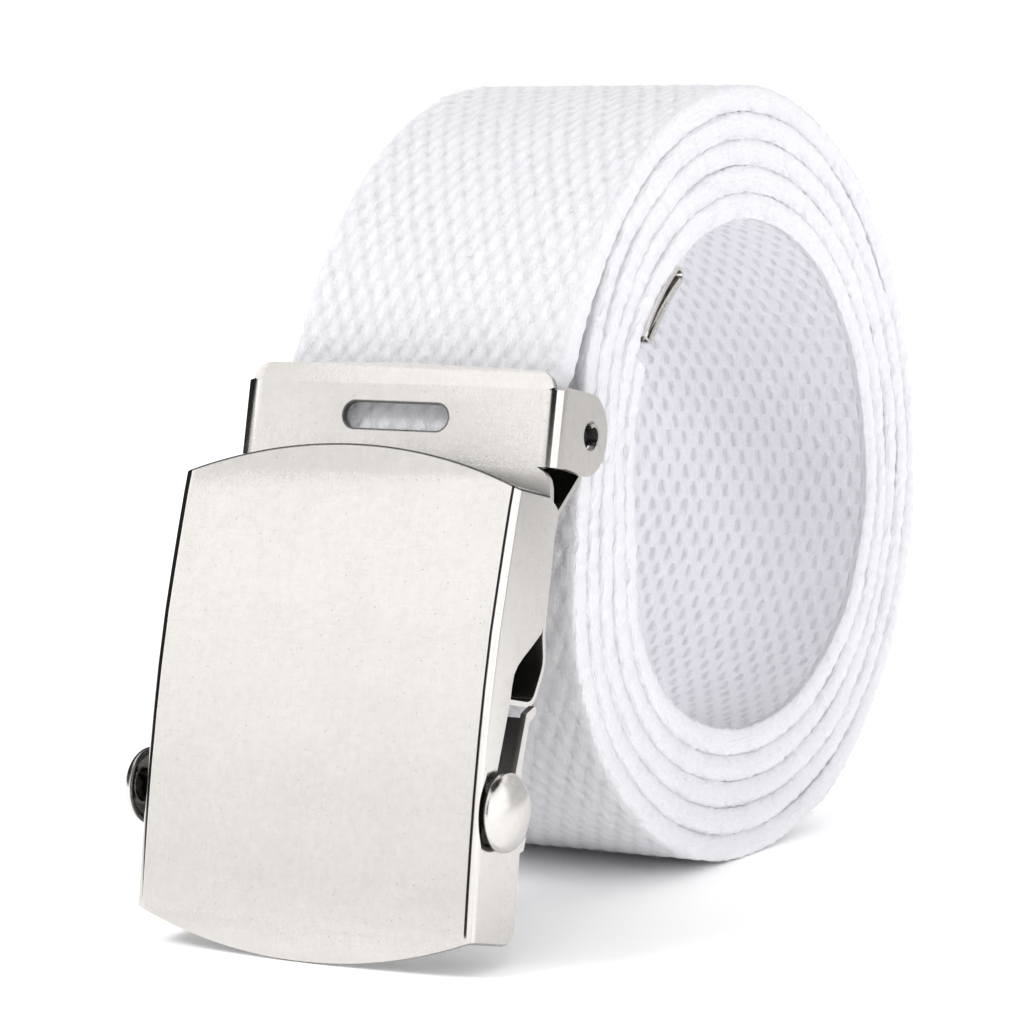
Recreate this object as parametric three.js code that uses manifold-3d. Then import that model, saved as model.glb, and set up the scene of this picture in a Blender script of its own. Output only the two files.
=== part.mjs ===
import * as THREE from 'three';
import { mergeVertices } from 'three/addons/utils/BufferGeometryUtils.js';
import Module from 'manifold-3d';

const wasm = await Module();
wasm.setup();

// All lengths are in millimetres. The roll's axis lies along X, +Z is up, and the buckle leans back
// against the roll's front, which faces -Y.

// Strap
const strapWidth = 38;
const strapThickness = 2.4;
const strapEdgeCut = 0.7;
const strapEndHeight = 29.6;
const strapEndDepth = 12.1;

// Spiral: radius of the strap's outer face over the angle about the roll's axis (0 is the back, 90 the
// top) and over the turns counted inwards from the buckle
const rollRadius = 52.51;
const rollAxisHeight = 48.38;
const turnPitch = 3.28;
const turnPitchOval = -0.117;
const ovalCos = 1.086;
const ovalSin = -0.169;
const lobeCos = 0.128;
const lobeSin = -0.482;
const spiralStartAngle = 168;
const stepsPerTurn = 48;
const firstAngle = 157.5;
const stepCount = 244;

// The strap's lead from the jaw to the roll: how far its two ends run on before they bend
const leadSteps = 9;
const leadRunAtJaw = 5.5;
const leadRunAtRoll = 6;

// Dent that the clamp lever presses into the turns behind the buckle
const dentDepth = 4.5;
const dentDepthPerTurn = 0.25;
const dentAngle = 172;
const dentAnglePerTurn = 2.5;
const dentSpread = 24;
const dentStartTurn = 0.6;
const dentGrowTurns = 0.35;

// Tip on the strap's free end
const tipSheet = 0.4;
const tipGap = 0.3;
const tipOpenAngle = 144;
const tipFoldLead = 1.9;
const tipStrapThickness = 1.1;
const thinEndLead = 1.5;
const thinLength = 4;
const tipHalfWidth = 19.4;
const tipSteps = 6;
const tipFoldSteps = 6;

// Buckle placement: the plate's centre, and its lean back from upright
const leanDegrees = 12.7;
const plateCentreY = -72.892;
const plateCentreZ = 29.408;

// Buckle measures are given across (x), up the plate, and in depth behind the plane that the face's
// corners touch
const sheet = 0.8;
const faceHalfWidth = 22.9;
const faceCornerHeight = 25.75;
const faceArchHeight = 30.1;
const faceArchSteps = 20;
const faceBendRadius = 0.5;

// The face bows forward between its ends: how far the sheet stands out at each height
const faceBow = [
  { up: 31.5, forward: -1.0 },
  { up: 25.75, forward: -0.1 },
  { up: 21, forward: 0.45 },
  { up: 16, forward: 0.95 },
  { up: 11, forward: 1.4 },
  { up: 6, forward: 1.75 },
  { up: -6, forward: 1.75 },
  { up: -11, forward: 1.55 },
  { up: -16, forward: 1.25 },
  { up: -21, forward: 0.9 },
  { up: -25.75, forward: 0.5 },
  { up: -31.5, forward: -0.3 },
];

// Rear edge of each side wall, from the top down to the slot's mouth
const wallEdgeAboveSlot = [
  { up: 32, depth: 7.5 },
  { up: 25.45, depth: 7.6 },
  { up: 25.35, depth: 8.1 },
  { up: 24.95, depth: 8.95 },
  { up: 24.55, depth: 9.55 },
  { up: 24.1, depth: 9.9 },
  { up: 22.9, depth: 9.87 },
  { up: 20.7, depth: 9.4 },
  { up: 18.3, depth: 9.15 },
  { up: 16.1, depth: 9.0 },
  { up: 11.1, depth: 9.2 },
  { up: 9.95, depth: 8.7 },
  { up: 8.21, depth: 6.69 },
  { up: 6.94, depth: 5.13 },
  { up: 5.88, depth: 4.02 },
  { up: 4.78, depth: 3.33 },
  { up: 3.4, depth: 3.1 },
];

// Rear edge of each side wall behind the slot, from the hook over its mouth down to the floor end
const wallEdgeBelowSlot = [
  { up: 1.6, depth: 8.8 },
  { up: 1.4, depth: 9.3 },
  { up: 0.6, depth: 9.2 },
  { up: -0.4, depth: 8.0 },
  { up: -5.5, depth: 7.25 },
  { up: -8.3, depth: 7.5 },
  { up: -11.1, depth: 9.3 },
  { up: -13.7, depth: 9.8 },
  { up: -15, depth: 9.5 },
  { up: -15.3, depth: 8.7 },
  { up: -24.3, depth: 9.3 },
  { up: -25.3, depth: 8.9 },
  { up: -25.7, depth: 8.2 },
  { up: -32, depth: 8.1 },
];

// The slanted slot that holds the bar; its left end is a little deeper than its right end
const slotBottomUp = -10.9;
const leftSlotBottomUp = -11.6;
const slotBottomDepth = 3.02;
const slotHalfWidth = 2.1;
const slotSlant = 9.65;
const slotMouthUp = 1.8;
const slotMouthRearUp = 0.6;

// Narrow returns folded in behind the slots
const returnInnerAcross = 18.4;
const returnEdge = [
  { up: 0.1, depth: 7.22 },
  { up: 0.1, depth: 8.0 },
  { up: -5.5, depth: 7.25 },
  { up: -8.5, depth: 6.8 },
  { up: -8.5, depth: 6.0 },
  { up: -5.5, depth: 6.45 },
];

const bracketSheet = 0.9;
const bracketFront = 9.66;
const bracketHalfWidth = 21.8;
const bracketBendRadius = 0.6;
const bracketTop = 40.6;
const bracketTopArch = 0.4;
const bracketTopFlat = 18.4;
const bracketCornerRadius = 2.4;
const bracketBendTop = 38.3;

// Side of the bracket's flat sheet below the ears, down to the tongue
const bracketFlank = [
  { across: 20.6, up: 29.3 },
  { across: 20.8, up: 28.6 },
  { across: 21.45, up: 27.4 },
  { across: 21.7, up: 26 },
  { across: 21.8, up: 24.4 },
  { across: 21.8, up: 12.8 },
  { across: 18.6, up: 11.6 },
  { across: 18.6, up: 5.2 },
  { across: 17.6, up: 4.2 },
];

const fingerSlotCentre = { across: -0.3, up: 34.6 };
const fingerSlotHalfLength = 7.25;
const fingerSlotRadius = 1.6;

// Ears folded back from the bracket, with the hole for the lever's nibs
const pivotUp = 34.1;
const pivotDepth = 17.85;
const earCentreUp = 34.15;
const earCentreDepth = 16.95;
const earRadius = 4.95;
const earHoleRadius = 1.8;
const earRoot = {
  top: { up: 38.9, depth: 11.75 },
  fold: { up: 38.4, depth: 10.4 },
  bottom: { up: 29.4, depth: 14.75 },
  notch: { up: 29.55, depth: 11.75 },
};

// Clamp lever: its tail bends down behind the strap's way, and its jaw turns in over the strap's end
const leverHalfWidth = 20.4;
const leverSheet = 0.6;
const leverCurlRadius = 1.1;
const leverTail = [
  { up: 1.8, depth: 7.15, bend: 0 },
  { up: 1.8, depth: 12.75, bend: 2.4 },
  { up: 6.8, depth: 14.65, bend: 4 },
  { up: 10.1, depth: 13.75, bend: 3 },
  { up: 23.8, depth: 13.75, bend: 2.5 },
  { up: 29.5, depth: pivotDepth + leverCurlRadius, bend: 1.8 },
  { up: pivotUp, depth: pivotDepth + leverCurlRadius, bend: 0 },
];
const nibRadius = 1.5;
const nibBore = 0.75;
const nibEndAcross = 22.2;
const nibRootAcross = 19.7;
const toothPitch = 2.6;
const toothDepth = 0.9;
const jawTip = { up: 30.4, depth: 14 };

// Loose bar in the slots, with its left end hanging a little lower
const barRadius = 1.8;
const barTiltDegrees = 0.85;
const barMiddleUp = -11.23;
const headRadius = 4.62;
const headRise = 2.1;
const rightRimAcross = 23.77;
const leftRimAcross = -24.75;
const headUnderside = 0.5;

// Reach of the cutting prisms past the sheet that they cut
const pastSide = 26;
const wallReach = 14;

const radians = (degrees) => (degrees * Math.PI) / 180;
const smoothStep = (value) => {
  const t = Math.min(Math.max(value, 0), 1);
  return t * t * (3 - 2 * t);
};

// Closed solids and meshes

function toSolid(geometry) {
  const plain = geometry.clone();
  plain.deleteAttribute('normal');
  plain.deleteAttribute('uv');
  const merged = mergeVertices(plain, 1e-5);
  return new wasm.Manifold(
    new wasm.Mesh({
      numProp: 3,
      vertProperties: new Float32Array(merged.attributes.position.array),
      triVerts: new Uint32Array(merged.index.array),
    }),
  );
}

function toGeometry(solid) {
  const mesh = solid.getMesh();
  const geometry = new THREE.BufferGeometry();
  geometry.setAttribute('position', new THREE.BufferAttribute(mesh.vertProperties, 3));
  geometry.setIndex(new THREE.BufferAttribute(mesh.triVerts, 1));
  return geometry;
}

// Prism of a closed outline, extruded along one axis of the frame that it is drawn in
function prism(outline, from, to, axis) {
  const shape = new THREE.Shape(outline.map(([a, b]) => new THREE.Vector2(a, b)));
  const geometry = new THREE.ExtrudeGeometry(shape, { depth: to - from, bevelEnabled: false });
  geometry.translate(0, 0, from);
  const turn = new THREE.Matrix4();
  if (axis === 'x') {
    turn.makeBasis(
      new THREE.Vector3(0, 1, 0),
      new THREE.Vector3(0, 0, 1),
      new THREE.Vector3(1, 0, 0),
    );
  }
  if (axis === 'y') {
    turn.makeBasis(
      new THREE.Vector3(0, 0, 1),
      new THREE.Vector3(1, 0, 0),
      new THREE.Vector3(0, 1, 0),
    );
  }
  return toSolid(geometry.applyMatrix4(turn));
}

// In the buckle's own frame x runs across, y up the plate and z out of its front, so depth is -z
const sidePrism = (outline, from, to) => prism(outline.map(([up, depth]) => [up, -depth]), from, to, 'x');
const frontPrism = (outline, near, far) => prism(outline, -far, -near, 'z');
const crossPrism = (outline, from, to) => {
  const turned = outline.map(([across, depth]) => [-depth, across]);
  return prism(turned, from, to, 'y');
};
const upAndDepth = (rows) => rows.map(({ up, depth }) => [up, depth]);

const arcPoints = (centre, radius, from, to, steps) =>
  Array.from({ length: steps + 1 }, (_, i) => {
    const angle = radians(from + ((to - from) * i) / steps);
    return [centre[0] + radius * Math.cos(angle), centre[1] + radius * Math.sin(angle)];
  });

// Replaces each inner corner of a path by an arc of the radius given for it
function roundedPath(points, radii, steps = 5) {
  const path = [points[0]];
  for (let i = 1; i < points.length - 1; i += 1) {
    const corner = new THREE.Vector2(...points[i]);
    const back = new THREE.Vector2(...points[i - 1]).sub(corner).normalize();
    const ahead = new THREE.Vector2(...points[i + 1]).sub(corner).normalize();
    const half = Math.acos(THREE.MathUtils.clamp(back.dot(ahead), -1, 1)) / 2;
    const reach = radii[i - 1] / Math.tan(half);
    const start = corner.clone().addScaledVector(back, reach);
    const end = corner.clone().addScaledVector(ahead, reach);
    const bend = new THREE.QuadraticBezierCurve(start, corner, end);
    bend.getPoints(steps).forEach((point) => path.push([point.x, point.y]));
  }
  path.push(points[points.length - 1]);
  return path;
}

// Outline of a sheet of even thickness whose middle follows a path
function sheetOutline(path, thickness) {
  const side = (sign) =>
    path.map((point, i) => {
      const before = path[Math.max(i - 1, 0)];
      const after = path[Math.min(i + 1, path.length - 1)];
      const inward = new THREE.Vector2(point[0] - before[0], point[1] - before[1]);
      const outward = new THREE.Vector2(after[0] - point[0], after[1] - point[1]);
      if (i === 0) inward.copy(outward);
      if (i === path.length - 1) outward.copy(inward);
      inward.normalize();
      outward.normalize();
      const along = inward.clone().add(outward).normalize();
      const reach = (sign * thickness) / 2 / Math.max(along.dot(outward), 0.5);
      return [point[0] - along.y * reach, point[1] + along.x * reach];
    });
  return [...side(1), ...side(-1).reverse()];
}

// Spiral strap

function dentAt(angle, turns) {
  const inner = turns - 1;
  const offset = (angle - dentAngle - dentAnglePerTurn * inner) / dentSpread;
  const depth = dentDepth - dentDepthPerTurn * inner;
  return depth * Math.exp(-offset * offset) * smoothStep((turns - dentStartTurn) / dentGrowTurns);
}

function outerRadius(angle, turns) {
  const a = radians(angle);
  const oval = ovalCos * Math.cos(2 * a) + ovalSin * Math.sin(2 * a);
  const lobe = lobeCos * Math.cos(3 * a) + lobeSin * Math.sin(3 * a);
  const pitch = turnPitch + turnPitchOval * Math.cos(2 * a);
  return rollRadius + oval + lobe - pitch * turns - dentAt(angle, turns);
}

const onRoll = (angle, radius) => [
  radius * Math.cos(radians(angle)),
  rollAxisHeight + radius * Math.sin(radians(angle)),
];

const lean = radians(leanDegrees);
const placeInBuckle = new THREE.Matrix4().makeBasis(
  new THREE.Vector3(1, 0, 0),
  new THREE.Vector3(0, Math.sin(lean), Math.cos(lean)),
  new THREE.Vector3(0, -Math.cos(lean), Math.sin(lean)),
);
placeInBuckle.setPosition(0, plateCentreY, plateCentreZ);

const buckleToRoll = (up, depth) => {
  const point = new THREE.Vector3(0, up, -depth).applyMatrix4(placeInBuckle);
  return [point.y, point.z];
};

// Stations of the strap: each holds the outer and the inner face's point, in the plane across X
function strapStations() {
  const stations = [];
  const turnsAt = (step) => (spiralStartAngle - firstAngle + (360 * step) / stepsPerTurn) / 360;
  const angleAt = (step) => (((firstAngle - (360 * step) / stepsPerTurn) % 360) + 360) % 360;
  const middleAt = (step) => {
    const radius = outerRadius(angleAt(step), turnsAt(step)) - strapThickness / 2;
    return onRoll(angleAt(step), radius);
  };

  const first = new THREE.Vector2(...middleAt(0));
  const second = new THREE.Vector2(...middleAt(1));
  const end = new THREE.Vector2(...buckleToRoll(strapEndHeight, strapEndDepth));
  const endAim = new THREE.Vector2(...buckleToRoll(strapEndHeight + leadRunAtJaw, strapEndDepth));
  const backward = first.clone().sub(second).normalize();
  const arrive = first.clone().addScaledVector(backward, leadRunAtRoll);
  const lead = new THREE.CubicBezierCurve(end, endAim, arrive, first);
  for (let i = 0; i < leadSteps; i += 1) {
    const point = lead.getPoint(i / leadSteps);
    const along = lead.getTangent(i / leadSteps);
    const out = new THREE.Vector2(-along.y, along.x).multiplyScalar(strapThickness / 2);
    stations.push([
      [point.x + out.x, point.y + out.y],
      [point.x - out.x, point.y - out.y],
    ]);
  }

  // One more station stands just before the tip, where the strap is pressed thin
  const thinStep = (tipTurns(tipOpenAngle + thinEndLead) - turnsAt(0)) * stepsPerTurn;
  const steps = Array.from({ length: stepCount + 1 }, (_, i) => i);
  steps.push(thinStep);
  steps.sort((a, b) => a - b);
  steps.forEach((step) => {
    const angle = angleAt(step);
    const turns = turnsAt(step);
    const lead = (tipTurns(tipOpenAngle + thinEndLead) - turns) * 360;
    const inTip = smoothStep(1 - lead / thinLength);
    const outer = outerRadius(angle, turns) - inTip * (tipSheet + tipGap);
    const thickness = THREE.MathUtils.lerp(strapThickness, tipStrapThickness, inTip);
    stations.push([onRoll(angle, outer), onRoll(angle, outer - thickness)]);
  });
  return stations;
}

// Turns counted at an angle on the innermost turn
const tipTurns = (angle) => (spiralStartAngle - angle) / 360 + 5;
const lastAngle = firstAngle + 360 * 5 - (360 * stepCount) / stepsPerTurn;

function strapGeometry() {
  const half = strapWidth / 2;
  const cut = strapEdgeCut;
  const stations = strapStations();
  const positions = [];
  const index = [];
  stations.forEach(([outer, inner]) => {
    const span = new THREE.Vector2(inner[0] - outer[0], inner[1] - outer[1]);
    const share = cut / span.length();
    const ring = [
      [half - cut, 0],
      [half, share],
      [half, 1 - share],
      [half - cut, 1],
      [-half + cut, 1],
      [-half, 1 - share],
      [-half, share],
      [-half + cut, 0],
    ];
    ring.forEach(([x, t]) => positions.push(x, outer[0] + span.x * t, outer[1] + span.y * t));
  });
  const sides = 8;
  for (let i = 0; i < stations.length - 1; i += 1) {
    for (let j = 0; j < sides; j += 1) {
      const a = i * sides + j;
      const b = i * sides + ((j + 1) % sides);
      index.push(a, b, a + sides, b, b + sides, a + sides);
    }
  }
  const last = (stations.length - 1) * sides;
  for (let j = 1; j < sides - 1; j += 1) {
    index.push(0, j + 1, j);
    index.push(last, last + j, last + j + 1);
  }
  const geometry = new THREE.BufferGeometry();
  geometry.setAttribute('position', new THREE.Float32BufferAttribute(positions, 3));
  geometry.setIndex(index);
  return geometry;
}

// Folded tip: an outer wall, a rounded fold past the strap's end, and an inner wall
function tipGeometry() {
  const wallAt = (angle, inset) => onRoll(angle, outerRadius(angle, tipTurns(angle)) - inset);
  const innerInset = tipSheet + 2 * tipGap + tipStrapThickness + tipSheet / 2;
  const midInset = (tipSheet / 2 + innerInset) / 2;
  const foldAngle = lastAngle - tipFoldLead;
  const path = [];
  for (let i = 0; i <= tipSteps; i += 1) {
    path.push(wallAt(THREE.MathUtils.lerp(tipOpenAngle, foldAngle, i / tipSteps), tipSheet / 2));
  }
  const radius = midInset - tipSheet / 2;
  const [cy, cz] = wallAt(foldAngle, midInset);
  for (let i = 1; i < tipFoldSteps; i += 1) {
    const swing = radians((180 * i) / tipFoldSteps);
    const out = radians(foldAngle);
    const radial = radius * Math.cos(swing);
    const ahead = radius * Math.sin(swing);
    path.push([
      cy + radial * Math.cos(out) + ahead * Math.sin(out),
      cz + radial * Math.sin(out) - ahead * Math.cos(out),
    ]);
  }
  for (let i = tipSteps; i >= 0; i -= 1) {
    path.push(wallAt(THREE.MathUtils.lerp(tipOpenAngle, foldAngle, i / tipSteps), innerInset));
  }
  return toGeometry(prism(sheetOutline(path, tipSheet), -tipHalfWidth, tipHalfWidth, 'x'));
}

// Buckle pieces, each in the buckle's own frame

function archedOutline() {
  const rise = faceArchHeight - faceCornerHeight;
  const radius = (faceHalfWidth * faceHalfWidth + rise * rise) / (2 * rise);
  const spread = (Math.asin(faceHalfWidth / radius) * 180) / Math.PI;
  const centre = faceArchHeight - radius;
  const top = arcPoints([0, centre], radius, 90 - spread, 90 + spread, faceArchSteps);
  const bottom = arcPoints([0, -centre], radius, 270 - spread, 270 + spread, faceArchSteps);
  const outside = faceHalfWidth + 1;
  return [
    [outside, faceCornerHeight],
    ...top,
    [-outside, faceCornerHeight],
    [-outside, -faceCornerHeight],
    ...bottom,
    [outside, -faceCornerHeight],
  ];
}

// Depth of the slanted slot's middle line at a height
const slotMiddle = (up) => slotBottomDepth + (up - slotBottomUp) * Math.tan(radians(slotSlant));

function wallOutline(bottomUp) {
  const aside = slotHalfWidth / Math.cos(radians(slotSlant));
  const bottom = [bottomUp, slotMiddle(bottomUp)];
  return [
    [32, -3],
    ...upAndDepth(wallEdgeAboveSlot),
    [slotMouthUp, slotMiddle(slotMouthUp) - aside],
    ...arcPoints(bottom, slotHalfWidth, slotSlant - 90, slotSlant - 270, 8),
    [slotMouthRearUp, slotMiddle(slotMouthRearUp) + aside],
    ...upAndDepth(wallEdgeBelowSlot),
    [-32, -3],
  ];
}

// Folded sheet that runs up the plate: a web across, and a wall bent back at each side
function foldedOutline(halfWidth, front, thickness, bendRadius, reach) {
  const middle = halfWidth - thickness / 2;
  const bend = roundedPath(
    [
      [-middle, reach],
      [-middle, front + thickness / 2],
      [middle, front + thickness / 2],
      [middle, reach],
    ],
    [bendRadius, bendRadius],
  );
  return sheetOutline(bend, thickness);
}

// The face's folded sheet, bowed forward at each height; the walls' rear edges stay in place
function bowedChannel() {
  const outline = foldedOutline(faceHalfWidth, 0, sheet, faceBendRadius, wallReach);
  const contour = outline.map(([across, depth]) => new THREE.Vector2(across, depth));
  if (THREE.ShapeUtils.isClockWise(contour)) {
    outline.reverse();
    contour.reverse();
  }
  const sides = outline.length;
  const positions = [];
  const rows = [...faceBow].reverse();
  rows.forEach(({ up, forward }) => {
    outline.forEach(([across, depth]) => {
      const share = 1 - depth / wallReach;
      positions.push(across, up, -depth + forward * share);
    });
  });
  const index = [];
  for (let i = 0; i < rows.length - 1; i += 1) {
    for (let j = 0; j < sides; j += 1) {
      const a = i * sides + j;
      const b = i * sides + ((j + 1) % sides);
      index.push(a, b, a + sides, b, b + sides, a + sides);
    }
  }
  const last = (rows.length - 1) * sides;
  THREE.ShapeUtils.triangulateShape(contour, []).forEach(([a, b, c]) => {
    index.push(a, c, b);
    index.push(last + a, last + b, last + c);
  });
  const geometry = new THREE.BufferGeometry();
  geometry.setAttribute('position', new THREE.Float32BufferAttribute(positions, 3));
  geometry.setIndex(index);
  return toSolid(geometry);
}

function faceSolid() {
  const arched = frontPrism(archedOutline(), -3, 15);
  const right = sidePrism(wallOutline(slotBottomUp), 0, pastSide);
  const left = sidePrism(wallOutline(leftSlotBottomUp), -pastSide, 0);
  const shaped = bowedChannel().intersect(arched).intersect(right.add(left));
  const returnReach = faceHalfWidth - 0.1;
  const returnOutline = upAndDepth(returnEdge);
  return shaped
    .add(sidePrism(returnOutline, returnInnerAcross, returnReach))
    .add(sidePrism(returnOutline, -returnReach, -returnInnerAcross));
}

function bracketSolid() {
  const rear = bracketFront + bracketSheet;
  const bendRun = bracketHalfWidth - bracketSheet / 2 - bracketBendRadius;
  const cornerCentre = [bracketTopFlat, bracketTop - bracketCornerRadius];
  const halfPlate = [
    ...arcPoints(cornerCentre, bracketCornerRadius, 90, 10, 5).reverse(),
    [0, bracketTop + bracketTopArch],
  ].reverse();
  halfPlate.push([bendRun, bracketBendTop - 0.2]);
  halfPlate.push([bendRun, bracketFlank[0].up]);
  bracketFlank.slice(1).forEach(({ across, up }) => halfPlate.push([across, up]));
  const mirrored = halfPlate.slice(1).map(([across, up]) => [-across, up]);
  const outline = [...halfPlate.reverse(), ...mirrored];
  const plate = frontPrism(outline, bracketFront, rear);

  const folded = foldedOutline(bracketHalfWidth, bracketFront, bracketSheet, bracketBendRadius, 25);
  const channel = crossPrism(folded, bracketFlank[0].up, bracketTop);
  const sideOutline = [
    [bracketBendTop, bracketFront - 1],
    [earRoot.fold.up, earRoot.fold.depth],
    [earRoot.top.up, earRoot.top.depth],
    ...arcPoints([earCentreUp, earCentreDepth], earRadius, 10, 170, 14),
    [earRoot.bottom.up, earRoot.bottom.depth],
    [earRoot.notch.up, earRoot.notch.depth],
    [bracketFlank[0].up, bracketFront - 1],
  ];
  const ears = channel.intersect(sidePrism(sideOutline, -pastSide, pastSide));

  const holes = sidePrism(
    arcPoints([pivotUp, pivotDepth], earHoleRadius, 0, 345, 23),
    -pastSide,
    pastSide,
  );
  const reach = fingerSlotHalfLength - fingerSlotRadius;
  const rightEnd = [fingerSlotCentre.across + reach, fingerSlotCentre.up];
  const leftEnd = [fingerSlotCentre.across - reach, fingerSlotCentre.up];
  const slotOutline = [
    ...arcPoints(rightEnd, fingerSlotRadius, -90, 90, 8),
    ...arcPoints(leftEnd, fingerSlotRadius, 90, 270, 8),
  ];
  const fingerSlot = frontPrism(slotOutline, bracketFront - 1, rear + 1);
  return plate.add(ears).subtract(holes).subtract(fingerSlot);
}

function leverSolid() {
  const bends = leverTail.slice(1, -1).map(({ bend }) => bend);
  const tail = roundedPath(upAndDepth(leverTail), bends);
  const pivot = [pivotUp, pivotDepth];
  const curl = arcPoints(pivot, leverCurlRadius, 75, -75, 8);
  const path = [...tail, ...curl, [jawTip.up, jawTip.depth]];
  let solid = sidePrism(sheetOutline(path, leverSheet), -leverHalfWidth, leverHalfWidth);

  const nib = arcPoints(pivot, nibRadius, 0, 345, 23);
  solid = solid.add(sidePrism(nib, nibRootAcross, nibEndAcross));
  solid = solid.add(sidePrism(nib, -nibEndAcross, -nibRootAcross));
  solid = solid.subtract(sidePrism(arcPoints(pivot, nibBore, 0, 330, 11), -pastSide, pastSide));

  // V-shaped gaps leave a row of teeth along the jaw
  const teeth = Math.floor((2 * leverHalfWidth) / toothPitch);
  const gap = toothPitch * 0.3;
  const root = jawTip.up - 1.5;
  for (let i = 0; i < teeth; i += 1) {
    const across = (i - (teeth - 1) / 2) * toothPitch;
    const notch = [
      [across - gap, root],
      [across + gap, root],
      [across, jawTip.up + toothDepth],
    ];
    solid = solid.subtract(frontPrism(notch, jawTip.depth - 2, jawTip.depth + 3));
  }
  return solid;
}

function barGeometry() {
  const domeSteps = 5;
  const dome = (rim, sign) =>
    Array.from({ length: domeSteps + 1 }, (_, i) => {
      const angle = radians((90 * i) / domeSteps);
      return [headRadius * Math.cos(angle), rim + sign * headRise * Math.sin(angle)];
    });
  const underside = (rim, sign) => [
    [barRadius, rim - sign * headUnderside],
    [headRadius - 0.5, rim - sign * (headUnderside - 0.1)],
    [headRadius - 0.1, rim - sign * 0.2],
  ];
  const profile = [
    ...dome(leftRimAcross, -1).reverse(),
    ...underside(leftRimAcross, -1).reverse(),
    ...underside(rightRimAcross, 1),
    ...dome(rightRimAcross, 1),
  ];
  const points = profile.map(([radius, along]) => new THREE.Vector2(Math.max(radius, 0), along));
  points[0].x = 0;
  points[points.length - 1].x = 0;
  const geometry = new THREE.LatheGeometry(points, 24);
  geometry.rotateZ(-Math.PI / 2 + radians(barTiltDegrees));
  geometry.translate(0, barMiddleUp, -slotMiddle(barMiddleUp));
  return toGeometry(toSolid(geometry));
}

// Named meshes

const cotton = { color: 0xf1f1f5, roughness: 0.95, metalness: 0 };
const nickel = { color: 0xcfcbc5, roughness: 0.28, metalness: 1 };

const belt = new THREE.Group();
belt.name = 'garrison_belt';

function addPiece(name, geometry, finish) {
  geometry.computeVertexNormals();
  const mesh = new THREE.Mesh(geometry, new THREE.MeshStandardMaterial({ ...finish, name }));
  mesh.name = name;
  belt.add(mesh);
  return geometry;
}

addPiece('webbing', strapGeometry(), cotton);
addPiece('belt_tip', tipGeometry(), nickel);
addPiece('buckle_face', toGeometry(faceSolid()).applyMatrix4(placeInBuckle), nickel);
addPiece('buckle_bracket', toGeometry(bracketSolid()).applyMatrix4(placeInBuckle), nickel);
addPiece('clamp_lever', toGeometry(leverSolid()).applyMatrix4(placeInBuckle), nickel);
addPiece('slide_bar', barGeometry().applyMatrix4(placeInBuckle), nickel);

// The origin is the middle of the belt's footprint, on the floor
const box = new THREE.Box3().setFromObject(belt);
const middle = box.getCenter(new THREE.Vector3());
belt.children.forEach((mesh) => mesh.geometry.translate(-middle.x, -middle.y, -box.min.z));

export default belt;
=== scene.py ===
"""Looks of the rolled cotton web belt with its slide buckle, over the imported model."""

import math

import bmesh
import bpy
import numpy as np
from mathutils import Matrix, Vector


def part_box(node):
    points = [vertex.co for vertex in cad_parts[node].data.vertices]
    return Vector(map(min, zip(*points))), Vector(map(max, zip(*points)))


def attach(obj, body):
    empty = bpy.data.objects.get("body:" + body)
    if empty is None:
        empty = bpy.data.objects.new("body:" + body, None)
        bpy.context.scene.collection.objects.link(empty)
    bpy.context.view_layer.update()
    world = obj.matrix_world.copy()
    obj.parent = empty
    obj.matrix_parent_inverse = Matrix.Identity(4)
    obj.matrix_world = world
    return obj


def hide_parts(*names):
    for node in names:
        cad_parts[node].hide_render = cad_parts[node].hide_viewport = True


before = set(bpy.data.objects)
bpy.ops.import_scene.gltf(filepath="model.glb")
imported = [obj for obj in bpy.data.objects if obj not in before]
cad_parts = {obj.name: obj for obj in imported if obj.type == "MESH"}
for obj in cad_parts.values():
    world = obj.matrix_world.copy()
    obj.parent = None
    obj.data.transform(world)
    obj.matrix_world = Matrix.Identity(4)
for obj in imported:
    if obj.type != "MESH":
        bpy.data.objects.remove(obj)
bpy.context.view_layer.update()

MM = 0.001

# The buckle's frame: across, up the plate, and depth behind the plate's front, all in millimetres
LEAN = math.radians(12.7)
PLATE_CENTRE = np.array([0.0, -72.892, 29.408])
ACROSS = np.array([1.0, 0.0, 0.0])
UP = np.array([0.0, math.sin(LEAN), math.cos(LEAN)])
FRONT = np.array([0.0, -math.cos(LEAN), math.sin(LEAN)])
SLOT_SLANT = 9.65
SLOT_BOTTOM_UP, SLOT_BOTTOM_DEPTH, LEFT_SLOT_BOTTOM_UP = -10.9, 3.02, -11.6


def slot_middle(up):
    """Depth of the slanted slot's middle line at a height."""
    return SLOT_BOTTOM_DEPTH + (up - SLOT_BOTTOM_UP) * math.tan(math.radians(SLOT_SLANT))


BAR_UP, BAR_TILT = -11.23, 0.85
BAR_DEPTH = slot_middle(BAR_UP)
HEAD_RADIUS, HEAD_RISE, RIGHT_RIM, LEFT_RIM = 4.62, 2.1, 23.77, -24.75

bar_lo, bar_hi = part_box("slide_bar")
bar_centre = np.array((Vector(bar_lo) + Vector(bar_hi)) / 2) / MM
bar_middle = (RIGHT_RIM + LEFT_RIM) / 2
bar_rise = bar_middle * math.sin(math.radians(BAR_TILT))
bar_local = PLATE_CENTRE + ACROSS * bar_middle + UP * (BAR_UP + bar_rise) - FRONT * BAR_DEPTH
SHIFT = bar_centre - bar_local


def buckle_matrix():
    """Buckle millimetres (across, up, towards the front) to metres in the shared frame."""
    turn = Matrix((ACROSS, UP, FRONT)).transposed().to_4x4()
    place = Matrix.Translation(Vector((PLATE_CENTRE + SHIFT) * MM))
    return place @ Matrix.Scale(MM, 4) @ turn


def smooth(x):
    """An eased step from 0 to 1."""
    x = np.clip(x, 0.0, 1.0)
    return x * x * (3 - 2 * x)


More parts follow.
